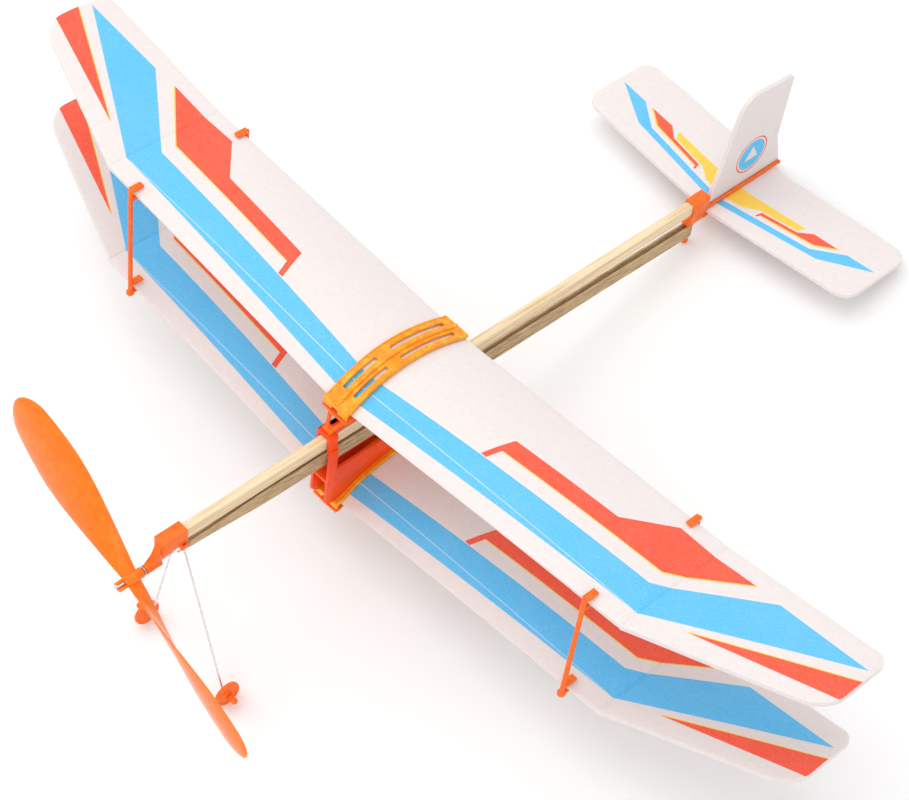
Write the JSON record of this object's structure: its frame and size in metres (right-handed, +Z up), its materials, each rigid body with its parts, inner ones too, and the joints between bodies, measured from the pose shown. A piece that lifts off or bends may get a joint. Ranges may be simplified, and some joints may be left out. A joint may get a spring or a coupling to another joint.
{
  "type": "rubber band plane",
  "caption": "Rubber band powered toy biplane with printed foam wings, a wooden stick fuselage, moulded clips and struts, a propeller on a wire shaft, and a wire undercarriage with wheels.",
  "frame": {"origin": "on the floor, under the middle of the whole object's box", "axes": "+X along the span to the right wing, +Y from the nose to the tail, +Z up; the stick slopes down to the tail as the plane stands on its wheels and its tail foot"},
  "size_m": [0.4174, 0.3508, 0.1213],
  "materials": {
    "foam": "white printed foam sheet",
    "orange_plastic": "glossy, slightly translucent",
    "amber_plastic": "glossy, slightly translucent",
    "pine": "bare, fine straight grain",
    "rubber": "satin tan strip",
    "wire": "drawn wire"
  },
  "bodies": {
    "airframe": {"fuselage_stick": "pine", "nose_block": "orange_plastic", "tail_block": "orange_plastic", "tailplane": "foam", "fin": "foam", "rubber_band": "rubber", "gear_leg_left": "wire", "gear_leg_right": "wire", "wheel_cap_left": "orange_plastic", "wheel_cap_right": "orange_plastic"},
    "wing_cell": {"upper_wing": "foam", "lower_wing": "foam", "upper_wing_clip": "amber_plastic", "upper_clip_foot": "orange_plastic", "lower_wing_clip": "amber_plastic", "lower_clip_foot": "orange_plastic", "stick_clamp": "orange_plastic", "cabane_front": "orange_plastic", "cabane_rear": "orange_plastic", "strut_front_left": "orange_plastic", "strut_rear_left": "orange_plastic", "strut_front_right": "orange_plastic", "strut_rear_right": "orange_plastic"},
    "shaft": {"prop_shaft": "wire", "thrust_washer": "wire"},
    "propeller": {"propeller": "orange_plastic"},
    "wheel_left": {"wheel_left": "orange_plastic"},
    "wheel_right": {"wheel_right": "orange_plastic"}
  },
  "joints": [
    {"name": "wing_slide", "type": "slide", "parent": "airframe", "child": "wing_cell", "axis": [0, 0.9718, -0.2359], "range_m": [-0.04, 0.06]},
    {"name": "shaft_spin", "type": "hinge", "parent": "airframe", "child": "shaft", "pos_m": [0, -0.16144, 0.07903], "axis": [0, 0.9718, -0.2359], "continuous": true, "deforming": ["rubber_band"]},
    {"name": "propeller_freewheel", "type": "hinge", "parent": "shaft", "child": "propeller", "pos_m": [0, -0.16144, 0.07903], "axis": [0, 0.9718, -0.2359], "continuous": true},
    {"name": "wheel_left_spin", "type": "hinge", "parent": "airframe", "child": "wheel_left", "pos_m": [-0.0239, -0.15614, 0.0055], "axis": [1, 0, 0], "continuous": true},
    {"name": "wheel_right_spin", "type": "hinge", "parent": "airframe", "child": "wheel_right", "pos_m": [0.0239, -0.15614, 0.0055], "axis": [1, 0, 0], "continuous": true}
  ]
}
